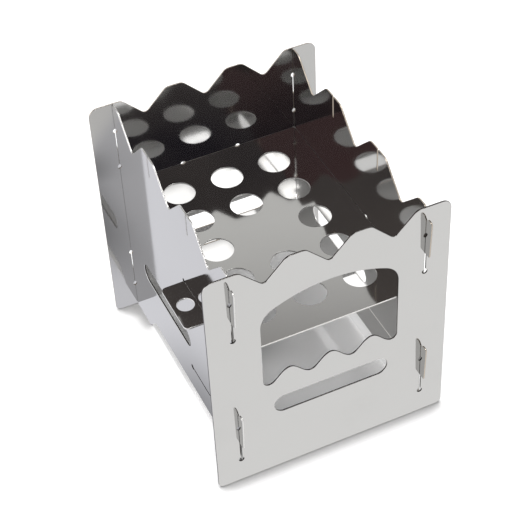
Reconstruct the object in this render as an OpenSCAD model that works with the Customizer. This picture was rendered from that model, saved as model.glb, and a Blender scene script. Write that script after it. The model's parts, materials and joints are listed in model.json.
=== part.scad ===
// Flat-pack hobo stove: four hooked sheet panels and a perforated fire grate.
// The front panel faces -Y and the left panel is on -X.
// The origin is the middle of the footprint, at the height of the table.

/* [Overall] */
// Height from the table to the tops of the crown
stove_h = 165; // [150:1:200]
// Width of the front and back panels
end_w = 149; // [135:1:190]
// Depth of the fire box between the front and the back panel
box_d = 165; // [160:1:200]
// How far the end panels reach past the middle plane of each side panel
end_overhang = 15.4; // [13:0.1:20]
// Thickness of the steel sheet
sheet_t = 1; // [0.8:0.1:1.2]
// Gap on each side of a sheet that stands in a slot
slot_play = 0.15; // [0.1:0.01:0.25]
// Gap between two sheets that meet edge to face
seat_gap = 0.3; // [0.15:0.01:0.4]
// Gap between the grate and the three panels that it locks together
lock_gap = 0.12; // [0.05:0.01:0.3]

/* [Front and back crown] */
// Width of the flat at each end of the crown, from the panel's edge to the first valley
end_margin_w = 21.1; // [16:0.1:26]
// Width of the flat between two valleys
end_flat_w = 10.8; // [8:0.1:16]
// Radius at the top corners of a front or back panel
end_top_r = 6; // [3:0.1:8]
// Radius at the bottom corners of a front or back panel
end_bottom_r = 3.3; // [1:0.1:8]

/* [Side crown] */
// Width of the flat at each end of the crown, from the panel's edge to the first valley
side_margin_w = 8.3; // [6:0.1:12]
// Width of the flat between two valleys
side_flat_w = 18.1; // [14:0.1:24]
// Width of the slits in the two middle tops
slit_w = 1.4; // [1.1:0.1:3]
// Depth of the slits in the two middle tops
slit_depth = 15.6; // [8:0.1:20]
// Radius at the top corners of a side panel
side_top_r = 1.8; // [0.5:0.1:4]

/* [Crown rounding] */
// Radius in the bottom of each valley
valley_r = 2.8; // [1:0.1:4]
// Radius at each shoulder of the crown tops
shoulder_r = 6; // [2:0.1:7]

/* [Fuel window] */
// Width of the window in the front panel
window_w = 85; // [85:0.5:92]
// Distance from the crown tops down to the highest point of the arch
window_drop = 27.4; // [23:0.1:37]
// Radius of the arch
arch_r = 84; // [70:0.5:120]
// Radius where the arch meets the straight sides
arch_corner_r = 13; // [4:0.1:14]
// Height of the middle of the wavy sill above the table
sill_z = 76.2; // [72:0.1:80]
// Height of a wave of the sill from valley to top
sill_wave_h = 8.7; // [2:0.1:10]
// Distance between neighbouring tops of the sill
sill_wave_pitch = 25.9; // [22:0.1:25.9]
// Radius at the bottom corners of the window
sill_corner_r = 3.6; // [1:0.1:3.6]

/* [Air slots] */
// Length of an air slot over its round ends
air_slot_l = 72.8; // [50:0.1:80]
// Height of an air slot
air_slot_h = 12.5; // [8:0.1:16]
// Height of the middle of an air slot above the table
air_slot_z = 52.5; // [49:0.1:56]
// How far the side air slots lie behind the middle of the side panels
side_air_slot_y = 21.3; // [0:0.1:25]

/* [Hook slots] */
// Distance from the crown tops down to the middle of the upper hook slots
hook_slot_drop = 34.1; // [30:0.1:37]
// Height of the middle of the lower hook slots above the table
hook_slot_low_z = 31.8; // [30:0.1:36]
// Distance between the two relief holes of a hook slot
hook_slot_span = 27.6; // [27:0.1:30]
// Diameter of the relief hole at each end of a slot
relief_d = 3.5; // [2:0.1:4]

/* [Hooks] */
// Length of a hook along the panel, which has to pass through its slot
hook_l = 26.3; // [24:0.1:28]
// Height of the neck that joins a hook to its side panel
neck_h = 14.8; // [10:0.1:16]
// How far the free end of a hook stands out from the panel that it holds
hook_tip_reach = 6.1; // [5:0.1:8]
// How far the other end of a hook stands out
hook_root_reach = 4.8; // [3:0.1:8]
// Radius at the outer corner of a hook's free end
hook_tip_r = 2; // [0.5:0.1:2.4]
// Lead-in at the inner corner of a hook's free end, which guides the panel on
hook_lead = 1.9; // [1:0.1:2.4]
// Radius at the outer corner of a hook's other end
hook_root_r = 1; // [0.3:0.1:2]

/* [Feet] */
// Height of the gap between the feet of a side panel
foot_h = 11.5; // [5:0.1:14]
// Length of the flat under each foot
foot_l = 22.6; // [12:0.1:30]
// Radius at the corners of the gap between the feet
foot_r = 2.5; // [1:0.1:5]

/* [Fire grate] */
// Height of the middle of the grate sheet in its upper slots
grate_high_z = 103.5; // [98:0.1:106]
// Height of the middle of the empty lower grate slots
grate_low_z = 31; // [29:0.1:33]
// Width of each grate tab
tab_w = 36.5; // [24:0.1:40]
// Length of the pull tab beyond the left panel
pull_tab_l = 14.8; // [12.5:0.1:18]
// Length of the back and right tabs beyond their panels
lock_tab_l = 4; // [2:0.1:8]
// How far the side tabs lie in front of the middle of the grate
side_tab_y = 33.2; // [20:0.1:40]
// Radius at the corners of the pull tab
pull_tab_r = 3; // [1:0.1:5]
// Radius at the corners of the grate sheet and of the short tabs
grate_corner_r = 1.8; // [0.5:0.1:3.9]
// Diameter of the finger hole in the pull tab
finger_hole_d = 10.2; // [8:0.1:11]
// Distance from the edge of the pull tab to the middle of the finger hole
finger_hole_inset = 8; // [7:0.1:9]
// Diameter of the air holes
air_hole_d = 20; // [14:0.1:22]
// Distance between air holes across the grate
air_hole_pitch_x = 32; // [26:0.1:33]
// Distance between air holes from front to back
air_hole_pitch_y = 28.5; // [24:0.1:31]

/* [Hidden] */
// Straight pieces in each rounded corner, in the arch and in each wave of the sill
corner_steps = 8;
arch_steps = 24;
wave_steps = 24;
$fn = 64;
// Numbers of crown valleys, of rows and columns of air holes
valley_count = 3;
hole_rows = 5;
hole_columns = 3;
steel = [0.80, 0.80, 0.78];

// Middle planes of the back panel and of the right panel
back_mid_y = box_d / 2 + sheet_t / 2;
side_mid_x = end_w / 2 - end_overhang;
// Edges of the side panels and of the grate, each a gap clear of the sheet it meets
side_edge_y = box_d / 2 - seat_gap;
grate_half_x = side_mid_x - sheet_t / 2 - lock_gap;
grate_front_y = seat_gap - box_d / 2;
grate_back_y = box_d / 2 - lock_gap;
// Width of a slot that takes one sheet, and how far past both faces a cut runs
slot_w = sheet_t + 2 * slot_play;
overrun = sheet_t;
// Depth of a 45 degree valley before its bottom is rounded, and distance between neighbouring valleys
end_valley_depth = (end_w / 2 - end_margin_w - (valley_count - 1) / 2 * end_flat_w) / valley_count;
end_valley_pitch = 2 * end_valley_depth + end_flat_w;
side_valley_depth = (side_edge_y - side_margin_w - (valley_count - 1) / 2 * side_flat_w) / valley_count;
side_valley_pitch = 2 * side_valley_depth + side_flat_w;
// Heights of the arch and of the upper hook slots above the table
window_top_z = stove_h - window_drop;
hook_slot_high_z = stove_h - hook_slot_drop;
// Half the height of a hook slot with its relief holes
hook_slot_half = hook_slot_span / 2 + relief_d / 2;
// Faces of a hook and of its neck, measured from the middle of the side panel
hook_inner_y = box_d / 2 + sheet_t + seat_gap;
hook_tip_y = box_d / 2 + sheet_t + hook_tip_reach;
hook_root_y = box_d / 2 + sheet_t + hook_root_reach;
// Height of the neck's bearing edge over the middle of its slot
neck_top = hook_slot_half - seat_gap;
neck_bottom = neck_top - neck_h;
hook_top = neck_bottom + hook_l;
// Span of the slots for the grate tabs between their relief holes
grate_slot_span = tab_w + 2 * seat_gap;

function unit(v) = v / norm(v);

// Points of one rounded corner, each corner being [x, y, radius]
function corner_points(before, here, after) =
    let (
        p = [here[0], here[1]],
        u = unit([before[0], before[1]] - p),
        v = unit([after[0], after[1]] - p),
        half_angle = acos(u * v) / 2,
        centre = p + unit(u + v) * here[2] / sin(half_angle),
        start = p + u * here[2] / tan(half_angle) - centre,
        finish = p + v * here[2] / tan(half_angle) - centre,
        from = atan2(start[1], start[0]),
        turn = atan2(finish[1], finish[0]) - from,
        sweep = turn > 180 ? turn - 360 : turn < -180 ? turn + 360 : turn
    )
    here[2] == 0
        ? [p]
        : [for (k = [0 : corner_steps])
            centre + here[2] * [cos(from + sweep * k / corner_steps), sin(from + sweep * k / corner_steps)]];

// Closed outline through a list of corners, each with its own radius
function rounded(corners) = [
    for (i = [0 : len(corners) - 1])
        each corner_points(
            corners[(i + len(corners) - 1) % len(corners)],
            corners[i],
            corners[(i + 1) % len(corners)])
];

// Crown corners from right to left: 45 degree valleys centred on the panel
function crown(pitch, depth) = [
    for (i = [valley_count - 1 : -1 : 0])
        let (middle = (i - (valley_count - 1) / 2) * pitch)
        each [
            [middle + depth, stove_h, shoulder_r],
            [middle, stove_h - depth, valley_r],
            [middle - depth, stove_h, shoulder_r]
        ]
];

// Wavy sill from left to right, as a cosine with a top in the middle of the window
function sill() =
    let (reach = sill_wave_pitch * 1.5)
    [for (k = [0 : 3 * wave_steps])
        let (x = -reach + 2 * reach * k / (3 * wave_steps))
        [x, sill_z + sill_wave_h / 2 * cos(360 * x / sill_wave_pitch)]];

// Bottom corner of the window, level with the lowest point of the sill
function sill_corner(side) =
    let (
        r = sill_corner_r,
        centre = [side * (window_w / 2 - r), sill_z - sill_wave_h / 2 + r]
    )
    [for (k = [0 : corner_steps])
        let (a = side > 0 ? -90 + 90 * k / corner_steps : 180 + 90 * k / corner_steps)
        centre + r * [cos(a), sin(a)]];

// Arched top of the window from right to left, with the radius at each end
function arch() =
    let (
        centre_z = window_top_z - arch_r,
        corner_x = window_w / 2 - arch_corner_r,
        reach = arch_r - arch_corner_r,
        corner_z = centre_z + sqrt(reach * reach - corner_x * corner_x),
        end_angle = atan2(corner_z - centre_z, corner_x)
    )
    concat(
        [for (k = [0 : corner_steps])
            let (a = end_angle * k / corner_steps)
            [corner_x + arch_corner_r * cos(a), corner_z + arch_corner_r * sin(a)]],
        [for (k = [1 : arch_steps - 1])
            let (a = end_angle + (180 - 2 * end_angle) * k / arch_steps)
            [arch_r * cos(a), centre_z + arch_r * sin(a)]],
        [for (k = [0 : corner_steps])
            let (a = 180 - end_angle + end_angle * k / corner_steps)
            [-corner_x + arch_corner_r * cos(a), corner_z + arch_corner_r * sin(a)]]);

// Straight slot with a relief hole at each end, along X from the origin both ways
module relieved_slot(span) {
    square([span, slot_w], center = true);
    for (side = [-1, 1])
        translate([side * span / 2, 0])
            circle(d = relief_d);
}

// Air slot with round ends, along X
module air_slot() {
    square([air_slot_l - air_slot_h, air_slot_h], center = true);
    for (side = [-1, 1])
        translate([side * (air_slot_l - air_slot_h) / 2, 0])
            circle(d = air_slot_h);
}

// Hook slots on both sides of a front or back panel
module hook_slots() {
    for (side = [-1, 1], z = [hook_slot_low_z, hook_slot_high_z])
        translate([side * side_mid_x, z])
            rotate(90)
                relieved_slot(hook_slot_span);
}

// Outline of a front or back panel with its crown, air slot and hook slots
module end_panel_2d() {
    difference() {
        polygon(rounded(concat(
            [[-end_w / 2, 0, end_bottom_r], [end_w / 2, 0, end_bottom_r], [end_w / 2, stove_h, end_top_r]],
            crown(end_valley_pitch, end_valley_depth),
            [[-end_w / 2, stove_h, end_top_r]])));
        hook_slots();
        translate([0, air_slot_z])
            air_slot();
    }
}

// A hook with its neck, seen from the side, its free end up and reaching out along +X
module hook_2d() {
    neck_start = side_edge_y - overrun;
    translate([neck_start, neck_bottom])
        square([hook_inner_y - neck_start + overrun, neck_h]);
    polygon(rounded([
        [hook_inner_y, neck_bottom, 0],
        [hook_root_y, neck_bottom, hook_root_r],
        [hook_tip_y, hook_top, hook_tip_r],
        [hook_inner_y + hook_lead, hook_top, hook_root_r],
        [hook_inner_y, hook_top - hook_lead, 0]]));
}

// Hooks of one end of a side panel: up at the front and down at the back
module hooks_2d(up) {
    for (z = [hook_slot_low_z, hook_slot_high_z])
        translate([0, z])
            mirror([0, up ? 0 : 1])
                hook_2d();
}

// Outline of a side panel with its crown, feet, hooks and slots; +X is towards the back
module side_panel_2d() {
    gap_y = side_edge_y - foot_l;
    difference() {
        union() {
            polygon(rounded(concat(
                [
                    [-side_edge_y, 0, foot_r / 2],
                    [-gap_y, 0, foot_r / 2],
                    [-gap_y + foot_h, foot_h, foot_r],
                    [gap_y - foot_h, foot_h, foot_r],
                    [gap_y, 0, foot_r / 2],
                    [side_edge_y, 0, foot_r / 2],
                    [side_edge_y, stove_h, side_top_r]
                ],
                crown(side_valley_pitch, side_valley_depth),
                [[-side_edge_y, stove_h, side_top_r]])));
            hooks_2d(false);
            mirror([1, 0])
                hooks_2d(true);
        }
        translate([side_air_slot_y, air_slot_z])
            air_slot();
        for (z = [grate_low_z, grate_high_z])
            translate([-side_tab_y, z])
                relieved_slot(grate_slot_span);
        for (side = [-1, 1])
            translate([side * side_valley_pitch / 2 - slit_w / 2, stove_h - slit_depth])
                square([slit_w, slit_depth + overrun]);
    }
}

// Outline of the fire grate with its three tabs
module grate_2d() {
    pull_edge = side_mid_x + sheet_t / 2 + pull_tab_l;
    lock_x = side_mid_x + sheet_t / 2 + lock_tab_l;
    lock_y = box_d / 2 + sheet_t + lock_tab_l;
    half_tab = tab_w / 2;
    polygon(rounded([
        [-grate_half_x, grate_front_y, grate_corner_r],
        [grate_half_x, grate_front_y, grate_corner_r],
        [grate_half_x, -side_tab_y - half_tab, 0],
        [lock_x, -side_tab_y - half_tab, grate_corner_r],
        [lock_x, -side_tab_y + half_tab, grate_corner_r],
        [grate_half_x, -side_tab_y + half_tab, 0],
        [grate_half_x, grate_back_y, grate_corner_r],
        [half_tab, grate_back_y, 0],
        [half_tab, lock_y, grate_corner_r],
        [-half_tab, lock_y, grate_corner_r],
        [-half_tab, grate_back_y, 0],
        [-grate_half_x, grate_back_y, grate_corner_r],
        [-grate_half_x, -side_tab_y + half_tab, 0],
        [-pull_edge, -side_tab_y + half_tab, pull_tab_r],
        [-pull_edge, -side_tab_y - half_tab, pull_tab_r],
        [-grate_half_x, -side_tab_y - half_tab, 0]]));
}

// Stand a front or back outline up as a sheet whose middle plane is at y
module stand_end(y) {
    translate([0, y + sheet_t / 2, 0])
        rotate([90, 0, 0])
            linear_extrude(height = sheet_t)
                children();
}

// Stand a side outline up as a sheet whose middle plane is at x
module stand_side(x) {
    translate([x - sheet_t / 2, 0, 0])
        rotate([90, 0, 90])
            linear_extrude(height = sheet_t)
                children();
}

module front_panel() {
    color(steel)
        stand_end(-back_mid_y)
            difference() {
                end_panel_2d();
                polygon(concat(sill_corner(-1), sill(), sill_corner(1), arch()));
            }
}

module back_panel() {
    color(steel)
        stand_end(back_mid_y)
            difference() {
                end_panel_2d();
                for (z = [grate_low_z, grate_high_z])
                    translate([0, z])
                        relieved_slot(grate_slot_span);
            }
}

module left_panel() {
    color(steel)
        stand_side(-side_mid_x)
            side_panel_2d();
}

module right_panel() {
    color(steel)
        stand_side(side_mid_x)
            side_panel_2d();
}

module fire_grate() {
    pull_edge = side_mid_x + sheet_t / 2 + pull_tab_l;
    color(steel)
        difference() {
            translate([0, 0, grate_high_z - sheet_t / 2])
                linear_extrude(height = sheet_t)
                    grate_2d();
            translate([finger_hole_inset - pull_edge, -side_tab_y, grate_high_z - sheet_t / 2 - overrun])
                cylinder(d = finger_hole_d, h = sheet_t + 2 * overrun);
            for (i = [0 : hole_columns - 1], j = [0 : hole_rows - 1])
                if (i != (hole_columns - 1) / 2 || j != (hole_rows - 1) / 2)
                    translate([
                        (i - (hole_columns - 1) / 2) * air_hole_pitch_x,
                        (j - (hole_rows - 1) / 2) * air_hole_pitch_y,
                        grate_high_z - sheet_t / 2 - overrun])
                        cylinder(d = air_hole_d, h = sheet_t + 2 * overrun);
        }
}

front_panel();
back_panel();
left_panel();
right_panel();
fire_grate();
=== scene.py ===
"""Looks of the flat-pack hobo stove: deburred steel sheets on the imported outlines, in a pale studio."""

import json
import math
from types import SimpleNamespace

import bmesh
import bpy
from mathutils import Euler, Matrix, Vector
from mathutils.geometry import tessellate_polygon


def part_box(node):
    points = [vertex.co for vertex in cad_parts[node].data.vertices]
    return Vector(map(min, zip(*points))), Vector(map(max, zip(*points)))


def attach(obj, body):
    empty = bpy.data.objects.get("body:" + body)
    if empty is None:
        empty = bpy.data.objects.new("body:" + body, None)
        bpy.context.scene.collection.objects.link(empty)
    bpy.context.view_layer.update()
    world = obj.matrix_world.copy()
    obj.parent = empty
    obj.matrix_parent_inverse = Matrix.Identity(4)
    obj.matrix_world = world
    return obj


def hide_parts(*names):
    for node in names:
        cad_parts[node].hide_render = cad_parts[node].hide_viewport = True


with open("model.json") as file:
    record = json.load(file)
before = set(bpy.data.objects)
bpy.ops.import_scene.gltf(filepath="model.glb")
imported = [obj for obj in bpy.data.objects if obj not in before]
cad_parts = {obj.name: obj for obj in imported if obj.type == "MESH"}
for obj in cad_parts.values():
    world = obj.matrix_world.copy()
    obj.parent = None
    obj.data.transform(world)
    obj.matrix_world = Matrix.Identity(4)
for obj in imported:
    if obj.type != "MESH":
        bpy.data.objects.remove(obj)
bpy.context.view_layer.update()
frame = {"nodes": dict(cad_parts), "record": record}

MM = 0.001

# Radius of a cut edge on the tumbled side that faces out, and on the side that faces the fire
OUTER_R = 0.45 * MM
INNER_R = 0.10 * MM
# Radius of the edges of the grate, which come straight from the laser
LASER_R = 0.05 * MM
# Radius of the pull tab's edges on its upper side, where a thumb presses
PULL_R = 0.30 * MM
# Rows of faces that round an edge
EDGE_STEPS = 4
# A cut narrower than this gets no tumbling inside, and keeps the smaller radius on both sides
NARROW = 6 * MM
# A turn of the outline sharper than this keeps a hard corner
HARD_TURN = math.radians(28)
# Least squared length of the mean normal at a corner, which keeps the mitre of a very sharp turn short
MITRE_LEAST = 0.2
# Points of a packed sheet that are nearer to each other than this are one
WELD = 0.002 * MM
# A packed face is part of the high flat of its sheet when it is this near to it, and its normal has at least
# this share along the sheet's axis
FLAT_NEAR = 0.05 * MM
FLAT_SHARE = 0.9

# Mirror colour of the steel's faces, and the colours of a cut wall: the laser's dark oxide with painted
# shade, its straw tint, and a bright colour with a painted highlight
STEEL = (0.575, 0.57, 0.56, 1)
WALL_OXIDE_AND_SHADE = (0.075, 0.065, 0.06, 1)
WALL_STRAW = (0.62, 0.54, 0.45, 1)
WALL_BRIGHT_AND_HIGHLIGHT = (0.86, 0.85, 0.83, 1)

# The sheet that each node is cut from: the axis that its flat faces look along, the axis of its rolling
# grain, the edge radii of its low and its high face, the colour of its cut walls, which is painted shade on
# the front panel and a painted highlight on the left panel and the grate, and how far the picture that it
# mirrors leans back
SHEETS = {
    "front_panel": ("Y", "Z", OUTER_R, INNER_R, WALL_OXIDE_AND_SHADE, 0.0),
    "back_panel": ("Y", "Z", INNER_R, OUTER_R, WALL_STRAW, math.radians(1.8)),
    "left_panel": ("X", "Y", OUTER_R, INNER_R, WALL_BRIGHT_AND_HIGHLIGHT, 0.0),
    "right_panel": ("X", "Y", INNER_R, OUTER_R, WALL_STRAW, 0.0),
    "fire_grate": ("Z", "X", LASER_R, LASER_R, WALL_BRIGHT_AND_HIGHLIGHT, 0.0),
}
# The side panels have another colour on the walls of their slots, which lie between these heights: painted
# shade on the left panel's, a painted highlight on the right panel's
SLOT_WALLS = {"left_panel": WALL_OXIDE_AND_SHADE, "right_panel": WALL_BRIGHT_AND_HIGHLIGHT}
SLOTS_Z = (18 * MM, 22 * MM, 122 * MM, 126 * MM)
AXES = {"X": 0, "Y": 1, "Z": 2}
# The axes that the outline of a sheet is drawn on, in the order that keeps its material on the left
PLANES = {"X": (1, 2), "Y": (2, 0), "Z": (0, 1)}

# Roughness of the polished faces
POLISH = 0.07
# Noises of the rolled finish, each as scale, detail and roughness: the grain, the clouding, the smudges of
# handling and the slow wave of the sheet
GRAIN = (2600.0, 3.0, 0.6)
CLOUD = (46.0, 3.0, 0.55)
SMUDGE = (17.0, 4.0, 0.6)
WAVE = (9.0, 1.0, 0.4)
# Where the smudges' noise starts to show and shows in full
SMUDGE_FROM = (0.52, 0.78)
# What the clouding, the smudges and the grain each add to the roughness at most
FINISH_ROUGH = 0.05
# Heights of the grain and the wave, in mm
GRAIN_HEIGHT = 0.0016
WAVE_HEIGHT = 0.12
# Shares of the clouding and the smudges in the tint, how much of the tint shows, and how dark it is
TINT_SHARES = (0.35, 0.65)
TINT_SHOWN = 0.6
TINT_DULL = 0.93
# Scale of the grain along the rolling, and of the beam's striations through the sheet, which draws both out
GRAIN_DRAWN = 0.02
STRIA_DRAWN = 0.04
# The striations' noise, their height in mm, and how much darker they are
STRIA = (5200.0, 2.0, 0.6)
STRIA_HEIGHT = 0.02
STRIA_DULL = 0.72
# Roughness of a cut wall, and the stretch of the striations' noise over which it rises
WALL_ROUGH = (0.26, 0.44)
WALL_ROUGH_FROM = (0.2, 0.8)
# Shares of a normal along the sheet's axis between which a cut wall turns into a face
WALL_TO_FACE = (0.35, 0.75)
# The hooks' faces are darker than those of the panels that carry them, and turn darker over this length at
# their root
HOOK_DULL = 0.80
HOOK_FADE = 1 * MM

# Directions in the studio are an azimuth from +Y towards +X and an elevation, in degrees
# Dark room, as the steel mirrors it: its darkest stretch, its lighter one, and the rusty one at the front
# left
ROOM_COOL = (0.020, 0.018, 0.027, 1)
ROOM_WARM = (0.150, 0.132, 0.124, 1)
ROOM_RUST = (0.165, 0.098, 0.104, 1)
# The lighter stretch at the back: the azimuths over which it rises from the left and falls to the right, and
# how light it is at either end
WARM_LEFT = (-125, -60, 0.0, 0.66)
WARM_RIGHT = (60, 150, 1.0, 0.0)
# Elevation of the darkest band across the room, how far from it the room is at its full brightness, and how
# the distance from it counts to the right and to the left of the front
BAND_AT = 36.7
BAND_HALF = (0.3, 3.4)
BAND_WIDENS = (176, 196, 1.0, 0.6)
# How light the room is at least above and below the band, to the right and to the left of the front
FRONT_WARM = (165, 205, 0.55, 0.85)
# Azimuths over which the rusty stretch rises and falls
RUST_SPREAD = (176, 196, 225, 250)
# Broad patches and a fine mottle over the whole room: scale, detail and roughness of each, the stretch of
# its noise that counts, and how much it darkens and lightens
PATCHES = (2.6, 2.0, 0.5)
PATCHES_TURN = (0.35, 0.65, -0.10, 0.10)
MOTTLE = (18.0, 4.0, 0.65)
MOTTLE_TURN = (0.36, 0.64, -0.24, 0.24)
# Pale wall at the right and the back, the azimuths over which it fades at either end, and the elevations
# over which it falls into shade
WALL = (0.77, 0.77, 0.755, 1)
WALL_LEFT = (-9, 8)
WALL_RIGHT = (95, 125)
WALL_TOP = (41, 50)
WALL_SHADE = 0.2
# Sweep of pale paper all round the table, and the elevations over which it fades
PAPER = (0.98, 0.98, 0.98, 1)
PAPER_TOP = (17, 33)
# Strip light low down at the left, which draws the bright rims of the left panel
STRIP = (2.6, 2.6, 2.65, 1)
STRIP_SPREAD = (-150, -128, -62, -35)
STRIP_HEIGHT = (-4, 2, 24, 34)
# Key light high up in front, which only the rough cut walls that face it catch, and no mirrored ones
KEY = (7.5, 7.5, 7.4, 1)
KEY_SPREAD = (112, 128, 188, 204)
KEY_HEIGHT = (54, 60, 74, 80)
# Softbox overhead
SOFTBOX = (0.92, 0.92, 0.93, 1)
SOFTBOX_EDGE = (58, 68)
# The camera sees the studio plain white
WHITE = (1, 1, 1, 1)

# Lamps that light the table and that nothing mirrors. Each: where it is, where it points, its size and its
# power
LAMPS = {
    "overhead_softbox": ((-0.1, 0.15, 1.3), (0, 0, 0), 1.2, 17.0),
    "front_fill": ((-0.5, -1.2, 0.9), (0, 0, 0.05), 0.9, 4.0),
}

# Half the width of the table, its paint under the stove, and around the stove a darker paint that shows as
# painted shade where the glow fades close to it
TABLE_HALF = 6.0
TABLE_UNDER = (0.84, 0.84, 0.84, 1)
TABLE_AROUND_SHADED = (0.60, 0.60, 0.60, 1)
# The camera sees the table white, and shaded close to the stove: how far the shade reaches, how open the
# table is where it starts and ends, and the darker line right at the foot of the front and back panels
CONTACT_REACH = 14 * MM
CONTACT_OPEN = (0.52, 0.95)
CONTACT_SAMPLES = 16
CONTACT_LINE = (1.6 * MM, 0.72)
GLOW_AWAY = 0.62
# Where the table leaves the lamps' light, the camera sees it as white as it is near the stove
GLOW_FAR = 0.40
GLOW_FAR_FROM = (0.5, 2.0)

# Light that reaches the table under the stove: at the front and the back, and what two panels mirror more
FRONT_GLOW = 0.02
BACK_GLOW = 0.17
BACK_GLOW_Y = (48 * MM, 66 * MM)
TWICE_GLOW = 0.08
# Soft streaks of light on the table under the stove: their noise, how it is drawn out from front to back,
# where it starts to show and shows in full, and how they brighten from a share at the left to the right
STREAK = (22.0, 1.0, 0.4)
STREAK_DRAWN = (1.0, 0.35, 1.0)
STREAK_FROM = (0.42, 0.66)
STREAK_GLOW = 0.14
STREAK_X = (4 * MM, 30 * MM)
STREAK_LEFT = 0.4
# The plainest of them
LONG_STREAK_GLOW = 0.12
LONG_STREAK_X = (31 * MM, 35 * MM, 37 * MM, 41 * MM)
LONG_STREAK_Y = (-24 * MM, -12 * MM, 6 * MM, 18 * MM)
# Shade on the table under the stove as the camera sees it, towards the left and the back
UNDER_SHADE = 0.36
UNDER_SHADE_X = (-4 * MM, 24 * MM)
UNDER_SHADE_Y = (-16 * MM, 10 * MM)
# Light under the gap between the left feet, and shade beyond the gap between the right ones, which fades
# over this length at either end of the panel
LEFT_GLOW = 0.32
LEFT_GLOW_X = (-58 * MM, -49 * MM)
RIGHT_SHADE = 0.70
RIGHT_SHADE_X = (68 * MM, 84 * MM)
RIGHT_SHADE_END = 12 * MM

# Glossy Depth of a ray that two panels have mirrored in turn, and a value between it and that of one mirror
TWO_PANELS = 2.0
OVER_ONE_PANEL = 1.5
# Brightness of the table as the steel mirrors it: in front of the stove, and beside and behind it
FRONT_MIRRORED = 1.07
SIDE_MIRRORED = 0.90
# The front stretch widens with the distance from the stove, at this rate past this half width
FRONT_HALF_W = 80 * MM
FRONT_SPREAD = 1.0
FRONT_FADE = 22 * MM
FRONT_EDGE = 1 * MM
# Painted cool tint of the table as the steel mirrors it to the left of the stove
LEFT_TINT = (0.985, 0.99, 1.05, 1)
# Shade at the foot of the left panel, from the front end of the stove to the back, and how far out it fades
FOOT_SHADE = (0.40, 0.88)
FOOT_SHADE_Y = (-25 * MM, 66 * MM)
FOOT_SHADE_REACH = 34 * MM
# Two panels in turn mirror the table beside them darker still: by how much near the stove and away from it
CORNER_SHADE = (0.20, 0.07)
CORNER_SHADE_REACH = (20 * MM, 50 * MM)
# Through the air holes the panels mirror painted glow patches on the table under the grate, which only
# mirrors see. Each stretch, in mm: its left and right end and the width over which it fades at the right,
# where it starts to brighten at the front, where it is full, and its back end
GLOW_PATCHES_ONCE = (
    (-8, 30, 14, -42, -18, -4),
    (30, 59, 10, -42, -30, -24),
    (-8, 28, 14, 38, 57, 70),
    (35, 50, 2, 25, 27, 40),
    (38, 62, 2, -84, -83, -71),
)
# The same for what two panels mirror in turn
GLOW_PATCHES_TWICE = (
    (20.5, 42, 2, -40, -20, -3),
    (28, 43, 2, 0, 20, 20),
    (33.2, 44, 2, 16, 18, 30),
    (18, 28, 2, 34, 54, 68),
)
# Width of the left and back edges of a stretch, in mm, and how bright the painted glow is for one panel and
# for two
GLOW_PATCH_EDGE = 1
ONCE_BRIGHT = 1.85
TWICE_BRIGHT = 3.2
# Light on the table that only the back panel mirrors, under the grate and beyond the gap between the right
# feet. Each strip: its left and right end, its front and back end, and how bright it is
LOW_LIGHTS = (
    (33 * MM, 58 * MM, -24 * MM, -5 * MM, 2.08),
    (75 * MM, 98 * MM, -42 * MM, 10 * MM, 0.95),
)
LOW_LIGHT_Z = 0.5 * MM

# The camera that the photograph was matched with: its place, its turn about X, Y and Z in degrees, and its
# focal length in pixels of a picture of this width
CAMERA_AT = (-0.27049, -0.62622, 0.72487)
CAMERA_TURN = (46.565, 2.244, -25.199)
CAMERA_SENSOR = 36.0
CAMERA_CLIP = 0.01
FOCAL_PIXELS = 1559.98
PHOTO_WIDTH = 525


def cut_outline(node, axis):
    """Closed outlines of a packed sheet in its own plane, and the places of its two faces along its axis."""
    across, up = PLANES[axis]
    copy = bmesh.new()
    copy.from_mesh(frame["nodes"][node].data)
    bmesh.ops.remove_doubles(copy, verts=copy.verts, dist=WELD)
    low, high = (corner[AXES[axis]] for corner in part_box(node))
    # Each corner on the border of the high flat leads to the next one round it
    follow = {}
    for face in copy.faces:
        near = abs(face.calc_center_median()[AXES[axis]] - high) < FLAT_NEAR
        if face.normal[AXES[axis]] > FLAT_SHARE and near:
            for loop in face.loops:
                other = [f for f in loop.edge.link_faces if f != face]
                if not other or other[0].normal[AXES[axis]] < FLAT_SHARE:
                    follow[loop.vert.index] = loop.link_loop_next.vert.index
    copy.verts.ensure_lookup_table()
    outlines = []
    while follow:
        start = here = next(iter(follow))
        points = []
        while here in follow:
            points.append(Vector((copy.verts[here].co[across], copy.verts[here].co[up])))
            here = follow.pop(here)
        assert here == start, node
        outlines.append(points)
    copy.free()
    return outlines, low, high


def in_space(axis, point, depth):
    """A point of the plane across an axis, and its depth along it, as a point in space."""
    place = [depth] * 3
    place[PLANES[axis][0]], place[PLANES[axis][1]] = point
    return place


def inward(points):
    """For each point, the step that moves its edges inwards by one unit, and how far the outline turns."""
    steps, turns = [], []
    for k, here in enumerate(points):
        before = (here - points[k - 1]).normalized()
        after = (points[(k + 1) % len(points)] - here).normalized()
        left = (Vector((-before.y, before.x)) + Vector((-after.y, after.x))) / 2
        steps.append(left / max(left.length_squared, MITRE_LEAST))
        turns.append(abs(math.atan2(before.x * after.y - before.y * after.x, before.dot(after))))
    return steps, turns


def edge_round():
    """Insets and depths down one rounded edge of radius 1, from the flat face to the cut wall."""
    angles = [math.pi / 2 * k / EDGE_STEPS for k in range(EDGE_STEPS + 1)]
    return [(1 - math.sin(a), 1 - math.cos(a)) for a in angles]


def narrowest(points):
    """The smaller side of the box round an outline."""
    return min(max(p[k] for p in points) - min(p[k] for p in points) for k in (0, 1))


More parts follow.
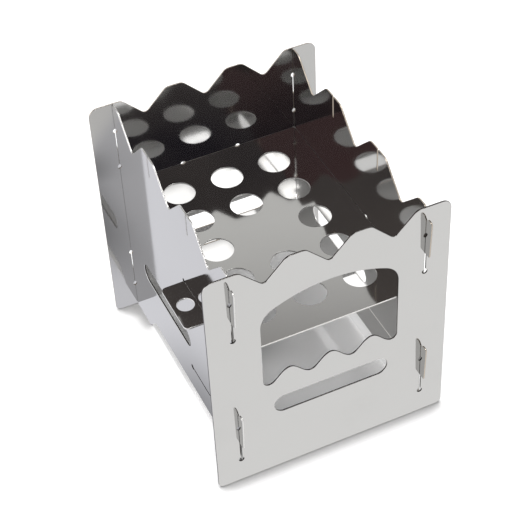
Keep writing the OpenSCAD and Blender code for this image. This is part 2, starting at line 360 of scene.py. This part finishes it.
def deburred_sheet(node, axis, low_r, high_r):
    """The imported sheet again, as a closed mesh with its cut edges rounded."""
    outlines, low, high = cut_outline(node, axis)
    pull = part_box("left_panel")[0][0] if node == "fire_grate" else -math.inf
    body = bmesh.new()
    low_rims, high_rims, hard = [], [], []
    for points in outlines:
        most = INNER_R if narrowest(points) < NARROW else OUTER_R
        steps, turns = inward(points)
        low_radii = [min(low_r, most)] * len(points)
        high_radii = [PULL_R if p.x < pull else min(high_r, most) for p in points]
        levels = [(low, 1, low_radii, inset, depth) for inset, depth in edge_round()]
        levels += [(high, -1, high_radii, inset, depth) for inset, depth in reversed(edge_round())]
        rings = []
        for face_at, side, radii, inset, depth in levels:
            ring = []
            for p, step, r in zip(points, steps, radii):
                place = in_space(axis, p + step * inset * r, face_at + side * depth * r)
                ring.append(body.verts.new(place))
            rings.append(ring)
        low_rims.append(rings[0])
        high_rims.append(rings[-1])
        for ring, above in zip(rings, rings[1:]):
            for k in range(len(points)):
                n = (k + 1) % len(points)
                body.faces.new((ring[k], ring[n], above[n], above[k])).smooth = True
                if turns[k] > HARD_TURN:
                    hard.append((ring[k], above[k]))
    for a, b in hard:
        body.edges.get((a, b)).smooth = False
    for rims in (low_rims, high_rims):
        flat = [v for rim in rims for v in rim]
        for corners in tessellate_polygon([[v.co for v in rim] for rim in rims]):
            body.faces.new([flat[c] for c in corners])
    bmesh.ops.recalc_face_normals(body, faces=body.faces)
    mesh = bpy.data.meshes.new(node)
    body.to_mesh(mesh)
    body.free()
    return mesh


class Nodes:
    """Short ways to add and join the nodes of one tree."""

    def __init__(self, tree):
        self.tree = tree

    def add(self, kind, **settings):
        inputs = settings.pop("inputs", {})
        node = self.tree.nodes.new(kind)
        for name, value in settings.items():
            setattr(node, name, value)
        for name, value in inputs.items():
            self.feed(node, name, value)
        return node

    def feed(self, node, name, value):
        socket = node.inputs[name]
        if isinstance(value, bpy.types.NodeSocket):
            self.tree.links.new(value, socket)
        else:
            socket.default_value = value

    def math(self, operation, a, b=0.0, clamp=False):
        node = self.add("ShaderNodeMath", operation=operation, use_clamp=clamp, inputs={0: a, 1: b})
        return node.outputs[0]

    def rest(self, share):
        """What a share leaves of the whole."""
        return self.math("SUBTRACT", 1.0, share)

    def product(self, *values):
        result = values[0]
        for value in values[1:]:
            result = self.math("MULTIPLY", result, value)
        return result

    def ramp(self, value, low, high, to_low=0.0, to_high=1.0):
        node = self.add("ShaderNodeMapRange", interpolation_type="SMOOTHSTEP", inputs={
            "Value": value, "From Min": low, "From Max": high, "To Min": to_low, "To Max": to_high})
        return node.outputs["Result"]

    def plateau(self, value, start, full, fall, end):
        return self.product(self.ramp(value, start, full), self.ramp(value, fall, end, 1.0, 0.0))

    def vector(self, operation, a, b=(0, 0, 0), output="Vector"):
        node = self.add("ShaderNodeVectorMath", operation=operation, inputs={0: a, 1: b})
        return node.outputs[output]

    def noise(self, vector, scale, detail, roughness):
        node = self.add("ShaderNodeTexNoise", inputs={
            "Vector": vector, "Scale": scale, "Detail": detail, "Roughness": roughness})
        return node.outputs["Fac"]

    def mix(self, factor, a, b):
        node = self.add("ShaderNodeMix", data_type="RGBA", inputs={0: factor, 6: a, 7: b})
        return node.outputs[2]


def new_group(name, inputs, outputs):
    """An empty shader node group with its named sockets, and the tools to fill it."""
    tree = bpy.data.node_groups.new(name, "ShaderNodeTree")
    for socket, kind, value in inputs:
        made = tree.interface.new_socket(socket, in_out="INPUT", socket_type=kind)
        made.default_value = value
    for socket, kind in outputs:
        tree.interface.new_socket(socket, in_out="OUTPUT", socket_type=kind)
    nodes = Nodes(tree)
    return tree, nodes, nodes.add("NodeGroupInput").outputs, nodes.add("NodeGroupOutput")


def rolled_finish():
    """Rolled and polished sheet: fine grain along one axis, soft clouding, and faint handling marks."""
    tree, n, given, out = new_group(
        "rolled_finish",
        [("Stretch", "NodeSocketVector", (1.0, 1.0, 1.0)),
         ("Grain Depth", "NodeSocketFloat", 1.0),
         ("Polish", "NodeSocketFloat", POLISH)],
        [("Roughness", "NodeSocketFloat"), ("Height", "NodeSocketFloat"), ("Tint", "NodeSocketFloat")])
    place = n.add("ShaderNodeTexCoord").outputs["Object"]
    grain = n.math("SUBTRACT", n.noise(n.vector("MULTIPLY", place, given["Stretch"]), *GRAIN), 0.5)
    cloud = n.noise(place, *CLOUD)
    smudge = n.ramp(n.noise(place, *SMUDGE), *SMUDGE_FROM)
    wave = n.noise(place, *WAVE)
    rough = n.math("ADD", given["Polish"], n.product(n.math("SUBTRACT", cloud, 0.5), FINISH_ROUGH))
    rough = n.math("ADD", rough, n.product(smudge, FINISH_ROUGH))
    rough = n.math("ADD", rough, n.product(grain, FINISH_ROUGH), clamp=True)
    height = n.product(grain, n.product(given["Grain Depth"], GRAIN_HEIGHT))
    height = n.math("ADD", height, n.product(wave, WAVE_HEIGHT))
    clouding, handling = TINT_SHARES
    tint = n.math("ADD", n.product(cloud, clouding), n.product(smudge, handling))
    n.feed(out, "Roughness", rough)
    n.feed(out, "Height", height)
    n.feed(out, "Tint", tint)
    return tree


def cut_edge():
    """Laser-cut edge: a mask of the walls between the two faces, and the striations left by the beam."""
    tree, n, given, out = new_group(
        "cut_edge",
        [("Face Axis", "NodeSocketVector", (0.0, 1.0, 0.0)),
         ("Stria Stretch", "NodeSocketVector", (1.0, 1.0, 1.0))],
        [("Mask", "NodeSocketFloat"), ("Stria", "NodeSocketFloat")])
    coords = n.add("ShaderNodeTexCoord").outputs
    facing = n.vector("DOT_PRODUCT", coords["Normal"], given["Face Axis"], output="Value")
    n.feed(out, "Mask", n.ramp(n.math("ABSOLUTE", facing), *WALL_TO_FACE, 1.0, 0.0))
    n.feed(out, "Stria", n.noise(n.vector("MULTIPLY", coords["Object"], given["Stria Stretch"]), *STRIA))
    return tree


def on_axis(axis, value, others):
    """A vector with one value along an axis and another along the other two."""
    vector = [others] * 3
    vector[AXES[axis]] = value
    return vector


def darker(colour, share):
    """The stated share of a colour."""
    return [c * share for c in colour[:3]] + [1]


def steel(node, face_axis, grain_axis, wall, lean, finish, edge):
    """Stainless sheet for one node, with its grain and its cut walls turned to that node's own axes."""
    material = bpy.data.materials.new(node + "_steel")
    material.use_nodes = True
    n = Nodes(material.node_tree)
    shader = material.node_tree.nodes["Principled BSDF"]
    surface = n.add("ShaderNodeGroup", node_tree=finish, inputs={
        "Stretch": on_axis(grain_axis, GRAIN_DRAWN, 1.0), "Grain Depth": 1.0, "Polish": POLISH}).outputs
    cut = n.add("ShaderNodeGroup", node_tree=edge, inputs={
        "Face Axis": on_axis(face_axis, 1.0, 0.0),
        "Stria Stretch": on_axis(face_axis, STRIA_DRAWN, 1.0)}).outputs
    tint = n.math("MULTIPLY", surface["Tint"], TINT_SHOWN, clamp=True)
    face_colour = n.mix(tint, STEEL, darker(STEEL, TINT_DULL))
    wall_colour = n.mix(cut["Stria"], wall, darker(wall, STRIA_DULL))
    place = n.add("ShaderNodeSeparateXYZ", inputs={0: n.add("ShaderNodeTexCoord").outputs["Object"]}).outputs
    if node in SLOT_WALLS:
        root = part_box("back_panel")[0][1]
        hook = n.ramp(n.math("ABSOLUTE", place["Y"]), root, root + HOOK_FADE)
        face_colour = n.mix(hook, face_colour, darker(STEEL, HOOK_DULL))
        slots = n.product(n.plateau(place["Z"], *SLOTS_Z), n.rest(hook))
        wall_colour = n.mix(slots, wall_colour, SLOT_WALLS[node])
    n.feed(shader, "Base Color", n.mix(cut["Mask"], face_colour, wall_colour))
    wall_rough = n.ramp(cut["Stria"], *WALL_ROUGH_FROM, *WALL_ROUGH)
    rough = n.add("ShaderNodeMix", data_type="FLOAT",
                  inputs={0: cut["Mask"], 2: surface["Roughness"], 3: wall_rough}).outputs[0]
    n.feed(shader, "Roughness", rough)
    shader.inputs["Metallic"].default_value = 1.0
    height = n.math("ADD", surface["Height"], n.product(cut["Stria"], cut["Mask"], STRIA_HEIGHT))
    if lean:
        height = n.math("ADD", height, n.product(place["Z"], -math.tan(lean) / MM))
    bump = n.add("ShaderNodeBump", inputs={"Strength": 1.0, "Distance": MM, "Height": height})
    n.feed(shader, "Normal", bump.outputs["Normal"])
    return material


def sheets():
    """The five sheets of the stove, each in the place of its node."""
    finish, edge = rolled_finish(), cut_edge()
    groups = frame["record"]["behaviour"]["bodies"]
    for node, (face_axis, grain_axis, low_r, high_r, wall, lean) in SHEETS.items():
        mesh = deburred_sheet(node, face_axis, low_r, high_r)
        sheet = bpy.data.objects.new(node + "_sheet", mesh)
        bpy.context.scene.collection.objects.link(sheet)
        mesh.materials.append(steel(node, face_axis, grain_axis, wall, lean, finish, edge))
        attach(sheet, next(body for body, held in groups.items() if node in held))
        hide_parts(node)


def from_panel(n, place, panel):
    """Distance of a point of the table from the foot of a panel."""
    low, high = (Vector(corner).xy.to_3d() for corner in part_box(panel))
    gap = n.vector("ABSOLUTE", n.vector("SUBTRACT", place, (low + high) / 2))
    gap = n.vector("MAXIMUM", n.vector("SUBTRACT", gap, (high - low) / 2))
    return n.vector("LENGTH", gap, output="Value")


def table_zones(n):
    """Where a point of the table is, how far it is from the panels, and whether they stand round it."""
    place = n.add("ShaderNodeTexCoord").outputs["Object"]
    axes = n.add("ShaderNodeSeparateXYZ", inputs={0: place}).outputs
    at_ends, at_sides = (
        n.math("MINIMUM", from_panel(n, place, a), from_panel(n, place, b))
        for a, b in (("front_panel", "back_panel"), ("left_panel", "right_panel")))
    low = Vector((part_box("left_panel")[1][0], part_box("front_panel")[1][1], 0))
    high = Vector((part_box("right_panel")[0][0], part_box("back_panel")[0][1], 0))
    gap = n.vector("ABSOLUTE", n.vector("SUBTRACT", place, (low + high) / 2))
    gap = n.add("ShaderNodeSeparateXYZ", inputs={0: n.vector("SUBTRACT", gap, (high - low) / 2)}).outputs
    inside = n.math("LESS_THAN", n.math("MAXIMUM", gap["X"], gap["Y"]), 0.0)
    return SimpleNamespace(
        place=place, x=axes["X"], y=axes["Y"], low=low, high=high, inside=inside, outside=n.rest(inside),
        at_ends=at_ends, away=n.math("MINIMUM", at_ends, at_sides))


def light_under(n, zone):
    """Streaks of light on the table under the stove, and the light under the gap between the left feet."""
    drawn_out = n.vector("MULTIPLY", zone.place, STREAK_DRAWN)
    light = n.ramp(n.noise(drawn_out, *STREAK), *STREAK_FROM, 0.0, STREAK_GLOW)
    light = n.product(light, n.ramp(zone.x, *STREAK_X, STREAK_LEFT, 1.0))
    plainest = n.product(n.plateau(zone.x, *LONG_STREAK_X), n.plateau(zone.y, *LONG_STREAK_Y))
    light = n.math("ADD", light, n.product(plainest, LONG_STREAK_GLOW))
    return n.math("ADD", light, n.ramp(zone.x, *LEFT_GLOW_X, LEFT_GLOW, 0.0))


def glow_around(n, zone):
    """Glow that whitens the open table, with a shade close to the stove and beyond the right feet."""
    openness = n.add("ShaderNodeAmbientOcclusion", samples=CONTACT_SAMPLES,
                     inputs={"Distance": CONTACT_REACH}).outputs["AO"]
    glow = n.ramp(openness, *CONTACT_OPEN, 0.0, GLOW_AWAY)
    glow = n.math("ADD", glow, n.ramp(zone.away, *GLOW_FAR_FROM, 0.0, GLOW_FAR))
    shade = n.product(n.math("GREATER_THAN", zone.x, 0.0), n.ramp(zone.x, *RIGHT_SHADE_X, RIGHT_SHADE, 0.0))
    front, back = zone.low.y, zone.high.y
    shade = n.product(shade, n.plateau(zone.y, front, front + RIGHT_SHADE_END, back - RIGHT_SHADE_END, back))
    return n.product(glow, n.rest(shade))


def seen_table(n, zone, path, twice):
    """The table as the camera sees it: its paint in the lamps' light, darker as painted shade around and
    under the stove, and a glow with painted light under the stove.
    """
    glow = n.math("ADD", n.product(glow_around(n, zone), zone.outside),
                  n.product(light_under(n, zone), zone.inside))
    glow = n.product(glow, path["Is Camera Ray"])
    soft = n.math("ADD", n.ramp(zone.y, *BACK_GLOW_Y, FRONT_GLOW, BACK_GLOW), n.product(twice, TWICE_GLOW))
    glow = n.math("ADD", glow, n.product(zone.inside, soft))
    reach, darkest = CONTACT_LINE
    shade = n.math("MAXIMUM", zone.inside, n.ramp(zone.at_ends, 0.0, reach, darkest, 1.0))
    dim = n.product(n.ramp(zone.x, *UNDER_SHADE_X, UNDER_SHADE, 0.0), n.ramp(zone.y, *UNDER_SHADE_Y))
    dim = n.product(dim, zone.inside, path["Is Camera Ray"])
    shade = n.product(shade, n.rest(dim))
    paint_and_shade = n.vector("MULTIPLY", n.mix(zone.inside, TABLE_AROUND_SHADED, TABLE_UNDER), shade)
    diffuse = n.add("ShaderNodeBsdfDiffuse", inputs={"Color": paint_and_shade}).outputs[0]
    emission = n.add("ShaderNodeEmission", inputs={"Strength": glow}).outputs[0]
    return n.add("ShaderNodeAddShader", inputs={0: diffuse, 1: emission}).outputs[0]


def in_front_of_stove(n, zone):
    """Mask of the stretch of the table in front of the stove, which widens with the distance from it."""
    past = n.math("MAXIMUM", n.math("SUBTRACT", n.math("ABSOLUTE", zone.x), FRONT_HALF_W), 0.0)
    ahead = n.math("ADD", n.math("SUBTRACT", zone.low.y, zone.y), n.product(past, -FRONT_SPREAD))
    return n.ramp(ahead, 0.0, n.math("ADD", n.math("MINIMUM", past, FRONT_FADE), FRONT_EDGE))


def painted_glow_mask(n, zone, stretches):
    """Mask of the painted glow patches, which fade at their right and front ends."""
    mask = 0.0
    for left, right, fade, front, full, back in stretches:
        across = n.plateau(zone.x, left * MM, (left + GLOW_PATCH_EDGE) * MM, (right - fade) * MM, right * MM)
        down = n.plateau(zone.y, front * MM, full * MM, back * MM, (back + GLOW_PATCH_EDGE) * MM)
        mask = n.math("MAXIMUM", mask, n.product(across, down))
    return mask


def mirrored_table(n, zone, path, twice):
    """The table as the steel mirrors it, and a mask of the painted glow patches on it."""
    foot = n.ramp(zone.y, *FOOT_SHADE_Y, *FOOT_SHADE)
    foot = n.math("MAXIMUM", foot, n.ramp(zone.x, zone.low.x, zone.high.x))
    beside = n.ramp(zone.away, 0.0, FOOT_SHADE_REACH, foot, SIDE_MIRRORED)
    corner = n.product(twice, n.ramp(zone.away, *CORNER_SHADE_REACH, *CORNER_SHADE))
    beside = n.product(beside, n.rest(corner))
    in_front = in_front_of_stove(n, zone)
    open_table = n.math("ADD", n.product(in_front, FRONT_MIRRORED), n.product(n.rest(in_front), beside))
    just_twice = n.math("COMPARE", path["Glossy Depth"], TWO_PANELS)
    painted_glow = n.math("ADD", n.product(painted_glow_mask(n, zone, GLOW_PATCHES_ONCE), n.rest(twice)),
                   n.product(painted_glow_mask(n, zone, GLOW_PATCHES_TWICE), just_twice))
    bright = n.math("ADD", ONCE_BRIGHT, n.product(twice, TWICE_BRIGHT - ONCE_BRIGHT))
    lit = n.math("MAXIMUM", zone.inside, painted_glow)
    strength = n.math("ADD", n.product(lit, bright), n.product(n.rest(lit), open_table))
    at_left = n.product(n.rest(in_front), n.math("LESS_THAN", zone.x, zone.low.x))
    tint = n.mix(at_left, WHITE, LEFT_TINT)
    return n.add("ShaderNodeEmission", inputs={"Color": tint, "Strength": strength}).outputs[0], painted_glow


def table():
    """White table, which keeps the stove's shadow, with painted shade, painted light and painted glow
    patches on it.
    """
    mesh = bpy.data.meshes.new("table")
    h = TABLE_HALF
    mesh.from_pydata([(-h, -h, 0), (h, -h, 0), (h, h, 0), (-h, h, 0)], [], [(0, 1, 2, 3)])
    top = bpy.data.objects.new("table", mesh)
    bpy.context.scene.collection.objects.link(top)
    material = bpy.data.materials.new("white_table")
    material.use_nodes = True
    n = Nodes(material.node_tree)
    material.node_tree.nodes.remove(material.node_tree.nodes["Principled BSDF"])
    zone = table_zones(n)
    path = n.add("ShaderNodeLightPath").outputs
    twice = n.math("GREATER_THAN", path["Glossy Depth"], OVER_ONE_PANEL)
    seen = seen_table(n, zone, path, twice)
    mirrored, painted_glow = mirrored_table(n, zone, path, twice)
    lifted = n.product(path["Is Glossy Ray"], n.math("MAXIMUM", zone.outside, painted_glow))
    both = n.add("ShaderNodeMixShader", inputs={0: lifted, 1: seen, 2: mirrored}).outputs[0]
    n.feed(material.node_tree.nodes["Material Output"], "Surface", both)
    mesh.materials.append(material)


def lamp(name, at, towards, size, power):
    """A square lamp that lights the scene and isn't seen or mirrored."""
    light = bpy.data.lights.new(name, "AREA")
    light.shape = "SQUARE"
    light.size = size
    light.energy = power
    obj = bpy.data.objects.new(name, light)
    obj.location = at
    obj.rotation_euler = (Vector(towards) - Vector(at)).to_track_quat("-Z", "Y").to_euler()
    bpy.context.scene.collection.objects.link(obj)
    obj.visible_glossy = False
    obj.visible_camera = False


def low_lights(mirror):
    """Lit strips of the table, seen in one panel and no other."""
    only = bpy.data.collections.new("mirrors_low_lights")
    only.objects.link(bpy.data.objects[mirror])
    for left, right, front, back, bright in LOW_LIGHTS:
        light = bpy.data.lights.new("low_light", "AREA")
        light.shape = "RECTANGLE"
        light.size = right - left
        light.size_y = back - front
        light.energy = math.pi * bright * light.size * light.size_y
        obj = bpy.data.objects.new("low_light", light)
        obj.location = ((left + right) / 2, (front + back) / 2, LOW_LIGHT_Z)
        obj.rotation_euler = (math.pi, 0, 0)
        obj.visible_camera = False
        bpy.context.scene.collection.objects.link(obj)
        obj.light_linking.receiver_collection = only


def dark_room(n, look, azimuth, around, elevation):
    """Colour of the room: cool, with a lighter stretch at the back and, past a dark band, at the front."""
    warm = n.product(n.ramp(azimuth, *WARM_LEFT), n.ramp(azimuth, *WARM_RIGHT))
    from_band = n.math("ABSOLUTE", n.math("SUBTRACT", elevation, BAND_AT))
    past_band = n.ramp(n.product(from_band, n.ramp(around, *BAND_WIDENS)), *BAND_HALF)
    warm = n.math("MAXIMUM", warm, n.product(past_band, n.ramp(around, *FRONT_WARM)))
    patches = n.ramp(n.noise(look, *PATCHES), *PATCHES_TURN)
    mottle = n.ramp(n.noise(look, *MOTTLE), *MOTTLE_TURN)
    warm = n.math("ADD", warm, n.math("ADD", patches, mottle), clamp=True)
    colour = n.mix(warm, ROOM_COOL, ROOM_WARM)
    return n.mix(n.product(warm, n.plateau(around, *RUST_SPREAD)), colour, ROOM_RUST)


def studio_world():
    """The studio that the steel mirrors. The camera itself sees plain white."""
    world = bpy.data.worlds.new("studio")
    bpy.context.scene.world = world
    world.use_nodes = True
    n = Nodes(world.node_tree)
    background = world.node_tree.nodes["Background"]
    look = n.add("ShaderNodeTexCoord").outputs["Generated"]
    axes = n.add("ShaderNodeSeparateXYZ", inputs={0: look}).outputs
    azimuth = n.math("DEGREES", n.math("ARCTAN2", axes["X"], axes["Y"]))
    elevation = n.math("DEGREES", n.math("ARCSINE", axes["Z"]))
    around = n.math("MODULO", n.math("ADD", azimuth, 360.0), 360.0)
    path = n.add("ShaderNodeLightPath").outputs
    glossy = path["Is Glossy Ray"]
    once = n.product(glossy, n.math("LESS_THAN", path["Glossy Depth"], OVER_ONE_PANEL))
    colour = dark_room(n, look, azimuth, around, elevation)
    wall = n.product(n.ramp(azimuth, *WALL_LEFT), n.ramp(azimuth, *WALL_RIGHT, 1.0, 0.0))
    wall = n.product(wall, n.ramp(elevation, *WALL_TOP, 1.0, WALL_SHADE))
    colour = n.mix(wall, colour, WALL)
    colour = n.mix(n.ramp(elevation, *PAPER_TOP, 1.0, 0.0), colour, PAPER)
    strip = n.product(n.plateau(azimuth, *STRIP_SPREAD), n.plateau(elevation, *STRIP_HEIGHT))
    colour = n.mix(n.product(strip, glossy), colour, STRIP)
    colour = n.mix(n.ramp(elevation, *SOFTBOX_EDGE), colour, SOFTBOX)
    key = n.product(n.plateau(around, *KEY_SPREAD), n.plateau(elevation, *KEY_HEIGHT))
    colour = n.mix(n.product(key, once), colour, KEY)
    n.feed(background, "Color", n.mix(path["Is Camera Ray"], colour, WHITE))


def camera():
    """The camera of the photograph."""
    data = bpy.data.cameras.new("camera")
    data.sensor_width = CAMERA_SENSOR
    data.lens = CAMERA_SENSOR * FOCAL_PIXELS / PHOTO_WIDTH
    data.clip_start = CAMERA_CLIP
    cam = bpy.data.objects.new("camera", data)
    turn = Euler([math.radians(angle) for angle in CAMERA_TURN])
    cam.matrix_world = Matrix.LocRotScale(Vector(CAMERA_AT), turn, None)
    bpy.context.scene.collection.objects.link(cam)
    bpy.context.scene.camera = cam


sheets()
table()
for name, settings in LAMPS.items():
    lamp(name, *settings)
low_lights("back_panel_sheet")
studio_world()
camera()
bpy.context.scene.view_settings.view_transform = "Standard"
